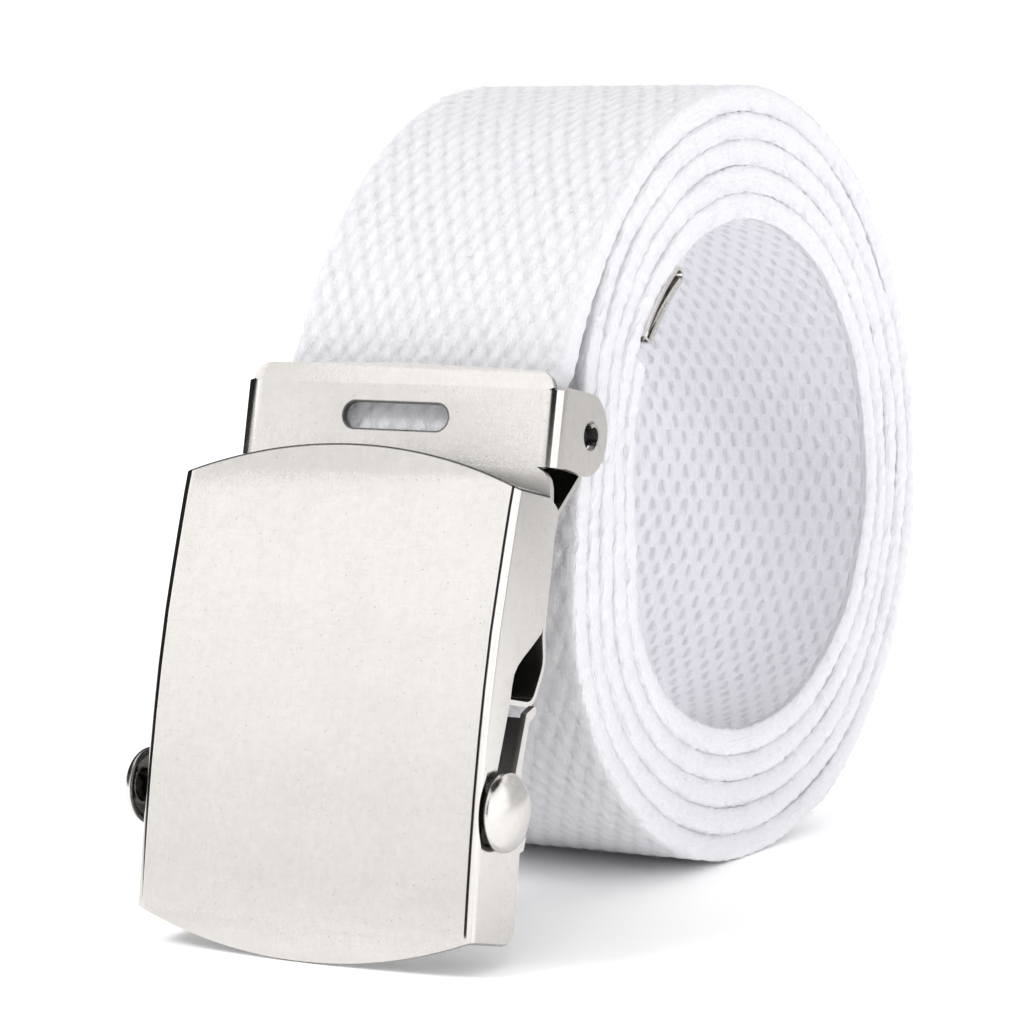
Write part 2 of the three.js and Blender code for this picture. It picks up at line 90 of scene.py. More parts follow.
def wander(along, lengths, sizes, seed):
    """Smooth seeded unevenness: a sum of waves of the given lengths and sizes."""
    dice = np.random.default_rng(seed)
    total = np.zeros_like(along)
    for length, size in zip(lengths, sizes):
        total += size * np.sin(2 * np.pi * along / length + dice.uniform(0, 2 * np.pi))
    return total


# Materials


def node(tree, kind, inputs=None, **settings):
    """A shader node. Each input is a value, or the socket that feeds it."""
    made = tree.nodes.new(kind)
    for name, value in settings.items():
        setattr(made, name, value)
    for key, value in (inputs or {}).items():
        if isinstance(value, bpy.types.NodeSocket):
            tree.links.new(value, made.inputs[key])
        else:
            made.inputs[key].default_value = value
    return made


def math_node(tree, operation, first, second=0.0, third=0.0, clamp=False):
    inputs = {0: first, 1: second, 2: third}
    return node(tree, "ShaderNodeMath", inputs, operation=operation, use_clamp=clamp).outputs[0]


def product(tree, first, *others):
    """Values or sockets multiplied by each other."""
    for other in others:
        first = math_node(tree, "MULTIPLY", first, other)
    return first


def multiply_add(tree, value, factor, offset):
    return math_node(tree, "MULTIPLY_ADD", value, factor, offset)


def map_range(tree, value, low, high, first=0.0, last=1.0):
    """Maps a value from one range to another and stops at its ends."""
    return node(tree, "ShaderNodeMapRange", {0: value, 1: low, 2: high, 3: first, 4: last}).outputs[0]


def mixed(tree, share, first, last):
    return node(tree, "ShaderNodeMix", {0: share, 2: first, 3: last}, data_type="FLOAT").outputs[0]


def noise(tree, vector, scale, detail, roughness=0.5, distortion=0.0):
    inputs = {"Vector": vector, "Scale": scale, "Detail": detail, "Roughness": roughness}
    return node(tree, "ShaderNodeTexNoise", {**inputs, "Distortion": distortion}).outputs


def attribute(tree, name):
    return node(tree, "ShaderNodeAttribute", attribute_name=name).outputs


def bump(tree, height, strength, distance, below=None):
    made = node(tree, "ShaderNodeBump", {"Height": height, "Strength": strength, "Distance": distance})
    if below is not None:
        tree.links.new(below, made.inputs["Normal"])
    return made.outputs[0]


def ramp(tree, value, stops):
    """A grey value read from stops, each a place from 0 to 1 and the grey there."""
    made = node(tree, "ShaderNodeValToRGB", {0: value})
    while len(made.color_ramp.elements) < len(stops):
        made.color_ramp.elements.new(0.5)
    for element, (place, grey) in zip(made.color_ramp.elements, stops):
        element.position = place
        element.color = (grey, grey, grey, 1)
    return made.outputs[0]


def toned(tree, colour, tone):
    """A colour, made lighter or darker by a tone."""
    return node(tree, "ShaderNodeVectorMath", {0: colour, "Scale": tone}, operation="SCALE").outputs[0]


def millimetres(tree, stretch=(1, 1, 1)):
    """Object coordinates in millimetres, stretched by an amount for each axis."""
    place = node(tree, "ShaderNodeTexCoord")
    made = node(tree, "ShaderNodeMapping", {0: place.outputs["Object"]})
    made.inputs["Scale"].default_value = tuple(1000 * s for s in stretch)
    return made.outputs[0]


def new_material(name):
    made = bpy.data.materials.new(name)
    made.use_nodes = True
    made.node_tree.nodes.clear()
    tree = made.node_tree
    shader = node(tree, "ShaderNodeBsdfPrincipled")
    node(tree, "ShaderNodeOutputMaterial", {"Surface": shader.outputs[0]})
    return made, tree, shader


FACE_HALF, FACE_CORNER, FACE_ARCH = 22.9, 25.75, 30.1
ARCH_RADIUS = (FACE_HALF**2 + (FACE_ARCH - FACE_CORNER) ** 2) / (2 * (FACE_ARCH - FACE_CORNER))
SLOT_MIDDLE, SLOT_REACH, SLOT_RADIUS = (-0.3, 34.6), 5.65, 1.6


def painted_edge_shade(tree, kind):
    """Painted shade beside a cut edge: a dark line standing in for the edge's dark reflection and shade,
    along the arched top of the plate and round the bracket's finger slot.
    """
    place = attribute(tree, "sheet_place")["Vector"]
    if kind == "arch":
        centre = (0.0, FACE_ARCH - ARCH_RADIUS, 0.0)
        away = node(tree, "ShaderNodeVectorMath", {0: place, 1: centre}, operation="DISTANCE")
        beyond = math_node(tree, "SUBTRACT", away.outputs["Value"], ARCH_RADIUS)
        return map_range(tree, beyond, -0.26, -0.16, 0.0, 0.95)
    across, up, _ = node(tree, "ShaderNodeSeparateXYZ", {0: place}).outputs
    aside = math_node(tree, "ABSOLUTE", math_node(tree, "SUBTRACT", across, SLOT_MIDDLE[0]))
    aside = math_node(tree, "MAXIMUM", math_node(tree, "SUBTRACT", aside, SLOT_REACH), 0.0)
    above = math_node(tree, "SUBTRACT", up, SLOT_MIDDLE[1])
    flat = node(tree, "ShaderNodeCombineXYZ", {0: aside, 1: above})
    away = node(tree, "ShaderNodeVectorMath", {0: flat.outputs[0]}, operation="LENGTH")
    beyond = math_node(tree, "SUBTRACT", away.outputs["Value"], SLOT_RADIUS)
    return map_range(tree, beyond, 0.12, 0.26, 0.9, 0.0)


WARM_NICKEL, PALE_NICKEL = (0.80, 0.770, 0.741), (0.97, 0.94, 0.905)
# The second value is how far painted shade darkens the metal, and also how far the face darkens towards its
# bottom
FOLD_ROUGHNESS, PAINTED_SHADE_STRENGTH = 0.09, 0.9


def nickel(name, roughness, colour=WARM_NICKEL, pit_size=0.05, rim=None):
    """Plated sheet with fine pits, hairline scratches and uneven gloss, with painted shade from the point
    values and a painted dark line along cut edges.
    """
    made, tree, shader = new_material(name)
    plain = millimetres(tree)
    cloud = noise(tree, plain, 0.14, 4.0, 0.6)[0]
    speck = noise(tree, plain, 3.2, 3.0, 0.7)[0]
    mottle = noise(tree, plain, 0.9, 6.0, 0.78)[0]
    pits = node(tree, "ShaderNodeTexVoronoi", {"Vector": plain, "Scale": 0.85, "Randomness": 1.0})
    pit = ramp(tree, pits.outputs["Distance"], [(0.0, 0.0), (pit_size, 0.25), (pit_size * 1.7, 1.0)])
    level_scratch = noise(tree, millimetres(tree, (0.12, 0.12, 4.0)), 2.6, 2.0, distortion=0.4)[0]
    upright_scratch = noise(tree, millimetres(tree, (5.0, 0.3, 0.14)), 2.2, 2.0, distortion=0.3)[0]
    hair = product(
        tree,
        ramp(tree, level_scratch, [(0.30, 0.0), (0.36, 1.0), (0.64, 1.0), (0.69, 0.0)]),
        ramp(tree, upright_scratch, [(0.31, 0.0), (0.38, 1.0), (0.66, 1.0), (0.70, 0.0)]),
    )
    # Painted shade: the point values and the painted edge line darken the colour, made uneven by noise
    dark = attribute(tree, "dark")["Fac"]
    if rim:
        dark = math_node(tree, "MAXIMUM", dark, painted_edge_shade(tree, rim))
    dark = math_node(tree, "MULTIPLY", dark, multiply_add(tree, speck, 0.5, 0.75), clamp=True)
    tone = product(
        tree,
        map_range(tree, cloud, 0.3, 0.7, 0.975, 1.015),
        map_range(tree, mottle, 0.3, 0.7, 0.94, 1.025),
        multiply_add(tree, pit, 0.45, 0.55),
        multiply_add(tree, hair, 0.05, 0.95),
        multiply_add(tree, dark, -PAINTED_SHADE_STRENGTH, 1.0),
    )
    tree.links.new(toned(tree, colour, tone), shader.inputs["Base Color"])
    shader.inputs["Metallic"].default_value = 1.0
    gloss = attribute(tree, "gloss")["Fac"]
    rough = map_range(tree, speck, 0.3, 0.7, roughness * 0.85, roughness * 1.2)
    tree.links.new(mixed(tree, gloss, rough, FOLD_ROUGHNESS), shader.inputs["Roughness"])
    relief = multiply_add(tree, gloss, -0.9, 1.0)
    height = multiply_add(tree, pit, 0.7, product(tree, hair, 0.15))
    fine = bump(tree, height, product(tree, relief, 0.35), 0.00003)
    grain = bump(tree, speck, product(tree, relief, 0.30), 0.00002, fine)
    wave = bump(tree, cloud, product(tree, relief, 0.12), 0.00012, grain)
    tree.links.new(wave, shader.inputs["Normal"])
    return made


CELL_ACROSS, CELL_ALONG = 2.5, 2.55
# Painted shade in the weave: how dark the gaps and the petals' borders get, and the creases' share of the
# gaps' darkening
GAP_SHADE, BORDER_SHADE, CREASE_SHARE = 0.135, 0.055, 0.08
PETAL_RANDOMNESS = 0.25


def cotton(name, outer_colour, shaded_inner_colour):
    """Woven cotton: yarn strands, fuzz, the soft gaps of the weave, and frayed petals on the outside; painted
    shade darkens the gaps and the petals' borders, and the inner side's colour is more lavender and darker,
    the darkness being painted shade.

    The attribute weave holds the place across and along the strap, and the side: 2 outside, -2 inside.
    """
    made, tree, shader = new_material(name)
    weave = attribute(tree, "weave")["Vector"]
    wobble = noise(tree, weave, 0.55, 2.0)["Color"]
    moved = node(tree, "ShaderNodeVectorMath", {0: wobble, 1: (0.6, 0.6, 0.0)}, operation="MULTIPLY")
    bent = node(tree, "ShaderNodeVectorMath", {0: weave, 1: moved.outputs[0]}, operation="ADD")
    across, along, _ = node(tree, "ShaderNodeSeparateXYZ", {0: bent.outputs[0]}).outputs
    side = node(tree, "ShaderNodeSeparateXYZ", {0: weave}).outputs[2]
    outside = map_range(tree, side, -1.5, 1.5)
    on_face = map_range(tree, math_node(tree, "ABSOLUTE", side), 1.88, 2.0)

    # Rows of cells, each row half a cell across from the next
    row = product(tree, along, 1 / CELL_ALONG)
    even = product(tree, across, 1 / CELL_ACROSS)
    brick = math_node(tree, "FRACT", product(tree, math_node(tree, "FLOOR", row), 0.5))
    column = math_node(tree, "ADD", even, brick)

    def from_middle(value):
        """Distance from the middle of a cell: 0 in the middle and 0.5 at its edge."""
        part = math_node(tree, "FRACT", value)
        return math_node(tree, "ABSOLUTE", math_node(tree, "SUBTRACT", part, 0.5))

    aside, above = from_middle(column), from_middle(row)
    slit = ramp(tree, aside, [(0.29, 0.0), (0.39, 0.4), (0.47, 1.0)])
    tall = ramp(tree, above, [(0.18, 1.0), (0.34, 0.75), (0.47, 0.0)])
    short = ramp(tree, above, [(0.05, 1.0), (0.22, 0.45), (0.38, 0.0)])
    crease = ramp(tree, above, [(0.34, 0.0), (0.50, 1.0)])

    stretched = node(tree, "ShaderNodeMapping", {0: weave})
    stretched.inputs["Scale"].default_value = (4.6, 0.8, 1.0)
    yarn = noise(tree, stretched.outputs[0], 1.0, 5.0, 0.65)[0]
    fuzz = noise(tree, weave, 2.3, 5.0, 0.72, 1.2)[0]
    patches = map_range(tree, noise(tree, weave, 0.42, 3.0)[0], 0.35, 0.65, 0.25, 1.3)
    # Where painted shade darkens the weave: its gaps, and a share of the creases between rows
    gap = product(tree, slit, mixed(tree, outside, tall, short), mixed(tree, outside, 1.0, patches))
    hollow = product(tree, math_node(tree, "MAXIMUM", gap, product(tree, crease, CREASE_SHARE)), on_face)

    # Uneven petal-shaped floats on the outside, one for each cell. The offsets centre them on the cells.
    half_row = product(tree, row, 0.5)
    lattice = node(
        tree,
        "ShaderNodeCombineXYZ",
        {
            0: math_node(tree, "ADD", math_node(tree, "ADD", even, half_row), 0.375),
            1: math_node(tree, "ADD", math_node(tree, "SUBTRACT", even, half_row), 0.875),
        },
    )
    petals = node(tree, "ShaderNodeTexVoronoi", voronoi_dimensions="2D", feature="DISTANCE_TO_EDGE")
    tree.links.new(lattice.outputs[0], petals.inputs["Vector"])
    petals.inputs["Scale"].default_value = 1.0
    petals.inputs["Randomness"].default_value = PETAL_RANDOMNESS
    frayed = math_node(tree, "ADD", petals.outputs["Distance"], multiply_add(tree, fuzz, 0.16, -0.08))
    border = ramp(tree, frayed, [(0.0, 1.0), (0.12, 0.5), (0.30, 0.0)])
    border = product(tree, border, outside, on_face)
    dome = ramp(tree, frayed, [(0.0, 0.0), (0.16, 0.45), (0.30, 0.75), (0.45, 0.85)])
    woven = math_node(tree, "SUBTRACT", 1.0, hollow)
    petal_height = math_node(tree, "ADD", product(tree, dome, 0.5), product(tree, woven, 0.5))
    height = product(tree, mixed(tree, outside, woven, petal_height), on_face)

    # Painted shade: darker in the gaps and along the petals' borders
    depth = mixed(tree, outside, GAP_SHADE, 0.7 * GAP_SHADE)
    tone = math_node(tree, "SUBTRACT", 1.0, product(tree, hollow, depth))
    tone = math_node(tree, "SUBTRACT", tone, product(tree, border, BORDER_SHADE))
    streak = map_range(tree, yarn, 0.3, 0.7, 0.93, 1.03)
    fluff = map_range(tree, fuzz, 0.3, 0.7, 0.93, 1.03)
    # The inner side's colour is more lavender, and darker as painted shade for the roll's shaded inside
    inputs = {0: outside, 6: (*shaded_inner_colour, 1), 7: (*outer_colour, 1)}
    base = node(tree, "ShaderNodeMix", inputs, data_type="RGBA").outputs[2]
    tone = product(tree, tone, streak, fluff)
    tree.links.new(toned(tree, base, tone), shader.inputs["Base Color"])
    shader.inputs["Roughness"].default_value = 0.95
    shader.inputs["Specular IOR Level"].default_value = 0.15
    shader.inputs["Sheen Weight"].default_value = 0.25
    shader.inputs["Sheen Roughness"].default_value = 0.6
    strands = bump(tree, yarn, 0.9, 0.00030)
    fluffy = bump(tree, fuzz, 0.6, 0.00025, strands)
    tree.links.new(bump(tree, height, 0.55, 0.00035, fluffy), shader.inputs["Normal"])
    return made


satin_plate = nickel("satin_nickel_plate", 0.33, rim="arch")
satin_bracket = nickel("satin_nickel_bracket", 0.33, rim="slot")
bright = nickel("bright_nickel", 0.20, pit_size=0.03)
tip_nickel = nickel("tip_nickel", 0.24, PALE_NICKEL, pit_size=0.03)
# The inner colour is more lavender, and darker as painted shade
webbing = cotton("cotton_webbing", (0.922, 0.919, 0.954), (0.80, 0.795, 0.846))


# Strap

STRAP_HALF = 19.0
CAD_HALF_THICK = 1.2
# The strap's greatest thickness, and how far each turn presses into the next
THICKEST, TURN_OVERLAP = 3.62, 0.28
WEAVE_DEPTH, OUTER_LEAN = 0.34, 0.12
EDGE_ROUND, EDGE_WAVE = 1.25, 0.6
FINE_COLUMNS, PLAIN_COLUMNS = 96, 8
FINE_STEP, PLAIN_STEP = 0.5, 0.42
ROLL_RADIUS, ROLL_HEIGHT = 52.51, 48.38
FIRST_ANGLE, START_ANGLE = 157.5, 168.0
TOTAL_TURN = 244 * 7.5
# The strap's first length leads from the roll down into the buckle
LEAD_TRAVEL, LEAD_POINTS = -30.0, 80
LEAD_END_UP, LEAD_AIM_UP, LEAD_DEPTH = 29.6, 35.1, 12.1
START_THICK, START_FADE = 2.45, 16
TIP_OPEN_ANGLE, TIP_SHEET, TIP_GAP, TIP_STRAP = 144.0, 0.4, 0.3, 1.1
TIP_OPEN_TRAVEL = FIRST_ANGLE - (TIP_OPEN_ANGLE + 1.5) + 360 * 5
TIP_NARROWER, TIP_FADE = 2.6, 4


def outer_radius(angle, turns):
    """Radius of the strap's outer side: an uneven spiral, pressed in a little behind the buckle."""
    a = np.radians(angle)
    oval = 1.086 * np.cos(2 * a) - 0.169 * np.sin(2 * a)
    lobe = 0.128 * np.cos(3 * a) - 0.482 * np.sin(3 * a)
    pitch = 3.28 - 0.117 * np.cos(2 * a)
    wrapped = np.mod(angle, 360.0)
    offset = (wrapped - 172 - 2.5 * (turns - 1)) / 24
    dent = (4.5 - 0.25 * (turns - 1)) * np.exp(-(offset**2)) * smooth((turns - 0.6) / 0.35)
    return ROLL_RADIUS + oval + lobe - pitch * turns - dent


def turn_at(travel):
    """Angle round the roll and number of turns, after so many degrees of travel."""
    return FIRST_ANGLE - travel, (START_ANGLE - FIRST_ANGLE + travel) / 360


def pitch_at(travel):
    """Distance from one turn to the next."""
    angle, turns = turn_at(travel)
    return outer_radius(angle, turns) - outer_radius(angle, turns + 1)


def middle_line(travel):
    """The strap's middle line after so many degrees of travel round the roll."""
    angle, turns = turn_at(travel)
    radius = outer_radius(angle, turns) - CAD_HALF_THICK
    a = np.radians(angle)
    return np.stack([radius * np.cos(a), ROLL_HEIGHT + radius * np.sin(a)], axis=-1)


def strap_path():
    """Points and travel of the whole strap, from its end in the buckle to its tip."""
    end = (PLATE_CENTRE + UP * LEAD_END_UP - FRONT * LEAD_DEPTH)[1:]
    aim = (PLATE_CENTRE + UP * LEAD_AIM_UP - FRONT * LEAD_DEPTH)[1:]
    first, second = middle_line(np.array([0.0, 7.5]))
    back = (first - second) / np.linalg.norm(first - second)
    arrive = first + back * 6
    t = np.linspace(0, 1, LEAD_POINTS, endpoint=False)[:, None]
    lead = (1 - t) ** 3 * end + 3 * (1 - t) ** 2 * t * aim + 3 * (1 - t) * t**2 * arrive + t**3 * first
    travel = np.arange(0, TOTAL_TURN + 0.01, 0.25)
    points = np.vstack([lead, middle_line(travel)])
    all_travel = np.concatenate([np.linspace(LEAD_TRAVEL, 0, LEAD_POINTS, endpoint=False), travel])
    steps = np.linalg.norm(np.diff(points, axis=0), axis=1)
    return points, all_travel, np.concatenate([[0], np.cumsum(steps)])


PATH, PATH_TRAVEL, PATH_LENGTH = strap_path()


def length_at(travel):
    return float(np.interp(travel, PATH_TRAVEL, PATH_LENGTH))


def path_at(along):
    """Points of the middle line at arc lengths from the strap's start."""
    return np.stack([np.interp(along, PATH_LENGTH, PATH[:, k]) for k in (0, 1)], axis=-1)


def cells(across, along, depth, lean):
    """Depth of the weave under its peaks: smooth lobes in rows, each row half a cell across from the next."""
    u = (across + wander(along, [37, 23], [0.12, 0.08], 3)) / CELL_ACROSS + 0.5
    v = (along + 0.16 * np.sin(across * 1.9 + along * 0.31)) / (2 * CELL_ALONG) - 0.25
    u = u + 0.045 * np.sin(along * 1.13 + 1.7 * np.sin(across * 0.61))
    u = u + 0.03 * np.sin(across * 1.7 - along * 0.47)
    v = v + 0.022 * np.sin(across * 2.3 + 1.9 * np.sin(along * 0.53))
    level, number = np.round(u + v), np.round(u - v)
    uneven = 0.5 + 0.5 * np.sin(level * 12.9898 + number * 78.233 + np.sin(level * 3.7 - number * 5.1) * 4)
    first = np.cos(2 * np.pi * (u + v)) + lean * np.sin(4 * np.pi * (u + v))
    lobe = (first + np.cos(2 * np.pi * (u - v))) / 2
    pit = np.clip((1 - lobe) / 2, 0, 1.5) ** 2.0
    return -depth * pit * (0.6 + 0.8 * uneven)


def strap_piece(name, start, stop, step, fine_outer, fine_inner):
    """One length of the strap as a tube of rings, from one arc length to another."""
    count = max(int(round((stop - start) / step)), 2) + 1
    along = np.linspace(start, stop, count)
    y, z = path_at(along).T
    ahead_y, ahead_z = (path_at(along + 0.6) - path_at(along - 0.6)).T
    size = np.hypot(ahead_y, ahead_z)
    out_y, out_z = -ahead_z / size, ahead_y / size
    travel = np.interp(along, PATH_LENGTH, PATH_TRAVEL)
    in_tip = smooth(1 - (TIP_OPEN_TRAVEL - travel) / TIP_FADE)
    at_start = smooth(1 - along / START_FADE)
    thick = np.minimum(THICKEST, pitch_at(travel) + TURN_OVERLAP)
    thick = thick + (START_THICK - thick) * at_start
    thick = thick + (TIP_STRAP - thick) * in_tip
    top = CAD_HALF_THICK - (TIP_SHEET + TIP_GAP) * in_tip
    weave_size = (1 - 0.7 * in_tip) * (1 - 0.5 * at_start)
    half = STRAP_HALF - 0.05 - TIP_NARROWER * in_tip
    shift_x = wander(along, [83, 47, 21], [0.12, 0.10, 0.05], 5) * (1 - in_tip) * (1 - at_start)

    outer_count = FINE_COLUMNS if fine_outer else PLAIN_COLUMNS
    inner_count = FINE_COLUMNS if fine_inner else PLAIN_COLUMNS
    bends = [math.radians(90 - 18 * i) for i in range(1, 10)]
    columns = [("outer", 1 - 2 * i / (outer_count - 1)) for i in range(outer_count)]
    columns += [("left", bend) for bend in bends]
    columns += [("inner", -1 + 2 * i / (inner_count - 1)) for i in range(inner_count)]
    columns += [("right", -bend) for bend in bends]

    points = np.zeros((count, len(columns), 3))
    weave = np.zeros((count, len(columns), 3))
    edge_wave, edge_out = {}, {}
    for sign in (-1, 1):
        sizes = [0.10, 0.07, 0.06, 0.05, 0.05, 0.05]
        edge_wave[sign] = wander(along, [2.15, 2.9, 4.3, 7.7, 13.1, 29.0], sizes, 11 + sign)
        edge_out[sign] = wander(along, [2.15, 3.1, 6.3, 17.0], [0.07, 0.04, 0.06, 0.08], 21 + sign)
    for j, (kind, place) in enumerate(columns):
        if kind in ("outer", "inner"):
            side, face, lean = (1.0, top, OUTER_LEAN) if kind == "outer" else (-1.0, top - thick, 0.0)
            code = place * (half - EDGE_ROUND)
            fade = smooth((half - 0.9 - np.abs(code)) / 1.6) * weave_size
            relief = fade * cells(code, along, WEAVE_DEPTH, lean)
            wave = edge_wave[1 if place > 0 else -1] * np.abs(place) ** 6
            height = face + side * (relief - 0.02 - 0.05 * np.abs(place) ** 12 + EDGE_WAVE * wave)
            x = code + shift_x
        else:
            sign = -1 if kind == "left" else 1
            side = math.sin(place)
            edge = half - EDGE_ROUND + EDGE_ROUND * math.cos(place) ** 0.33
            x = sign * (edge + edge_out[sign] * math.cos(place)) + shift_x
            height = top - thick / 2 + (thick / 2 - 0.03 + EDGE_WAVE * edge_wave[sign]) * side
            code = sign * (edge + 1.2 * (1 - side))
        points[:, j, 0] = x + SHIFT[0]
        points[:, j, 1] = y + out_y * height + SHIFT[1]
        points[:, j, 2] = z + out_z * height + SHIFT[2]
        weave[:, j, 0] = code
        weave[:, j, 1] = along
        weave[:, j, 2] = side * 2
    return tube(name, points * MM, weave)


def add_object(name, data):
    made = bpy.data.objects.new(name, data)
    bpy.context.scene.collection.objects.link(made)
    return made


def point_values(mesh, name, values):
    held = mesh.attributes.new(name, "FLOAT_VECTOR", "POINT")
    held.data.foreach_set("vector", values.reshape(-1).astype(np.float32))


def tube(name, points, weave=None):
    """A closed mesh from rings of points, with its two ends capped."""
    rings, around, _ = points.shape
    index = np.arange(rings * around).reshape(rings, around)
    a = index[:-1]
    b = np.roll(a, -1, axis=1)
    c = np.roll(index[1:], -1, axis=1)
    d = index[1:]
    quads = np.stack([a, d, c, b], axis=-1).reshape(-1, 4)
    mesh = bpy.data.meshes.new(name)
    caps = rings * around + np.arange(2 * around).reshape(2, around)
    faces = quads.tolist() + [caps[0].tolist(), caps[1][::-1].tolist()]
    points = np.concatenate([points, points[:1], points[-1:]])
    mesh.from_pydata(points.reshape(-1, 3).tolist(), [], faces)
    mesh.update()
    if weave is not None:
        point_values(mesh, "weave", np.concatenate([weave, weave[:1], weave[-1:]]))
    mesh.shade_smooth()
    return add_object(name, mesh)


def dress(piece, material, body, slot, *nodes):
    """Gives a piece its material and the nodes it replaces, and the body it moves with. The slot is not used.
    """
    piece.data.materials.clear()
    piece.data.materials.append(material)
    if nodes:
        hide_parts(*nodes)
    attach(piece, body)
    return piece


STRAP_CUTS = [LEAD_TRAVEL, 395.0, 742.0, 1088.0, 1435.0, TOTAL_TURN]
STRAP_NAMES = ["web_outer_turn", "web_turn_2", "web_turn_3", "web_turn_4", "web_inner_turn"]
for name, first, last in zip(STRAP_NAMES, STRAP_CUTS, STRAP_CUTS[1:]):
    outermost, innermost = name == STRAP_NAMES[0], name == STRAP_NAMES[-1]
    step = FINE_STEP if outermost or innermost else PLAIN_STEP
    piece = strap_piece(name, length_at(first), length_at(last), step, outermost, innermost)
    dress(piece, webbing, "belt", "webbing", "webbing")


FIBRE_RADIUS, FIBRE_CLEARANCE = 0.030, 2.5


def stray_fibres(name, count, at_edges, seed):
    """Short loose cotton fibres, each a thin bent three-sided rod that starts in the cloth."""
    dice = np.random.default_rng(seed)
    last = length_at(TOTAL_TURN - 20) if at_edges else length_at(300)
    along = dice.uniform(length_at(8), last, count)
    gap = pitch_at(np.interp(along, PATH_LENGTH, PATH_TRAVEL))
    centre = path_at(along)
    ahead = path_at(along + 0.5) - centre
    ahead /= np.linalg.norm(ahead, axis=1)[:, None]
    out = np.stack([-ahead[:, 1], ahead[:, 0]], axis=-1)
    if at_edges:
        side = dice.choice([-1.0, 1.0], count)
        level = CAD_HALF_THICK - gap * dice.choice([0.0, 0.0, 1.0], count) + dice.normal(0, 0.28, count)
        level = np.minimum(level, CAD_HALF_THICK - 0.1)
        start = np.column_stack([side * (STRAP_HALF - 0.12), centre + out * level[:, None]])
        lift = np.column_stack([side, 0 * centre])
        turn = dice.normal(0, 0.35, count)
        heading = np.column_stack([0 * side, ahead * np.cos(turn)[:, None] + out * np.sin(turn)[:, None]])
        rise = dice.uniform(0.10, 0.34, count)
    else:
        across = dice.uniform(-STRAP_HALF + 1, STRAP_HALF - 1, count)
        start = np.column_stack([across, centre + out * (CAD_HALF_THICK - 0.25)])
        lift = np.column_stack([0 * across, out])
        turn = dice.uniform(0, 2 * np.pi, count)
        heading = np.column_stack([np.cos(turn), ahead * np.sin(turn)[:, None]])
        rise = dice.uniform(0.30, 0.60, count)
    heading *= dice.choice([-1.0, 1.0], count)[:, None]
    length = dice.uniform(0.7, 2.4, count)[:, None]
    middle = start + heading * length * 0.5 + lift * rise[:, None]
    end = start + heading * length + lift * (rise * dice.uniform(-0.3, 1.0, count))[:, None]
    aside = np.cross(heading, lift)
    # None start where the roll rests on the floor
    clear = start[:, 2] > FIBRE_CLEARANCE
    start, middle, end, aside, lift = (part[clear] for part in (start, middle, end, aside, lift))
    verts = []
    for spot, size in ((start, 1.0), (middle, 1.0), (end, 0.5)):
        for spin in (0, 120, 240):
            a = math.radians(spin)
            verts.append(spot + (aside * math.cos(a) + lift * math.sin(a)) * FIBRE_RADIUS * size)
    verts = (np.stack(verts, axis=1).reshape(-1, 3) + SHIFT) * MM
    pattern = []
    for ring in (0, 3):
        for i in range(3):
            j = (i + 1) % 3
            pattern.append((ring + i, ring + j, ring + 3 + j, ring + 3 + i))
    pattern += [(2, 1, 0, 0), (6, 7, 8, 8)]
    faces = []
    for number in range(int(clear.sum())):
        faces += [tuple(dict.fromkeys(9 * number + k for k in face)) for face in pattern]
    mesh = bpy.data.meshes.new(name)
    mesh.from_pydata(verts.tolist(), [], faces)
    mesh.shade_smooth()
    return dress(add_object(name, mesh), webbing, "belt", "webbing")


stray_fibres("stray_edge_fibres", 5200, True, 31)
stray_fibres("stray_face_fibres", 900, False, 32)


# Sheet metal


def face_outwards(mesh):
    work = bmesh.new()
    work.from_mesh(mesh)
    bmesh.ops.recalc_face_normals(work, faces=work.faces)
    work.to_mesh(mesh)
    work.free()


def stack(name, rings):
    """A closed solid from levels of points: the sides between the levels, and the two ends."""
    count, levels = len(rings[0]), len(rings)
    faces = []
    for base in range(0, (levels - 1) * count, count):
        for i in range(count):
            j = (i + 1) % count
            faces.append((base + i, base + j, base + count + j, base + count + i))
    faces.append(tuple(range(count))[::-1])
    faces.append(tuple((levels - 1) * count + i for i in range(count)))
    mesh = bpy.data.meshes.new(name)
    mesh.from_pydata([point for ring in rings for point in ring], [], faces)
    face_outwards(mesh)
    return add_object(name, mesh)


PLANES = {
    "side": lambda up, depth, across: (across, up, -depth),
    "front": lambda across, up, depth: (across, up, -depth),
    "cross": lambda across, depth, up: (across, up, -depth),
    "roll": lambda y, z, x: (x, y, z),
}


def prism(name, outline, low, high, plane):
    """Closed prism of an outline, from one level to another along the axis that the plane leaves over."""
    return stack(name, [[PLANES[plane](p, q, at) for p, q in outline] for at in (low, high)])


def settle(piece):
    """Applies a piece's modifiers to its mesh."""
    graph = bpy.context.evaluated_depsgraph_get()
    fresh = bpy.data.meshes.new_from_object(piece.evaluated_get(graph))
    old = piece.data
    piece.modifiers.clear()
    piece.data = fresh
    bpy.data.meshes.remove(old)
    return piece


def combine(piece, other, operation):
    """Joins, cuts or intersects a piece with another one, which is used up."""
    made = piece.modifiers.new("combine", "BOOLEAN")
    made.operation = operation
    made.solver = "EXACT"
    made.object = other
    bpy.context.view_layer.update()
    settle(piece)
    bpy.data.objects.remove(other)
    return piece


SOFT_ANGLE, SHADING_WEIGHT = 38, 60


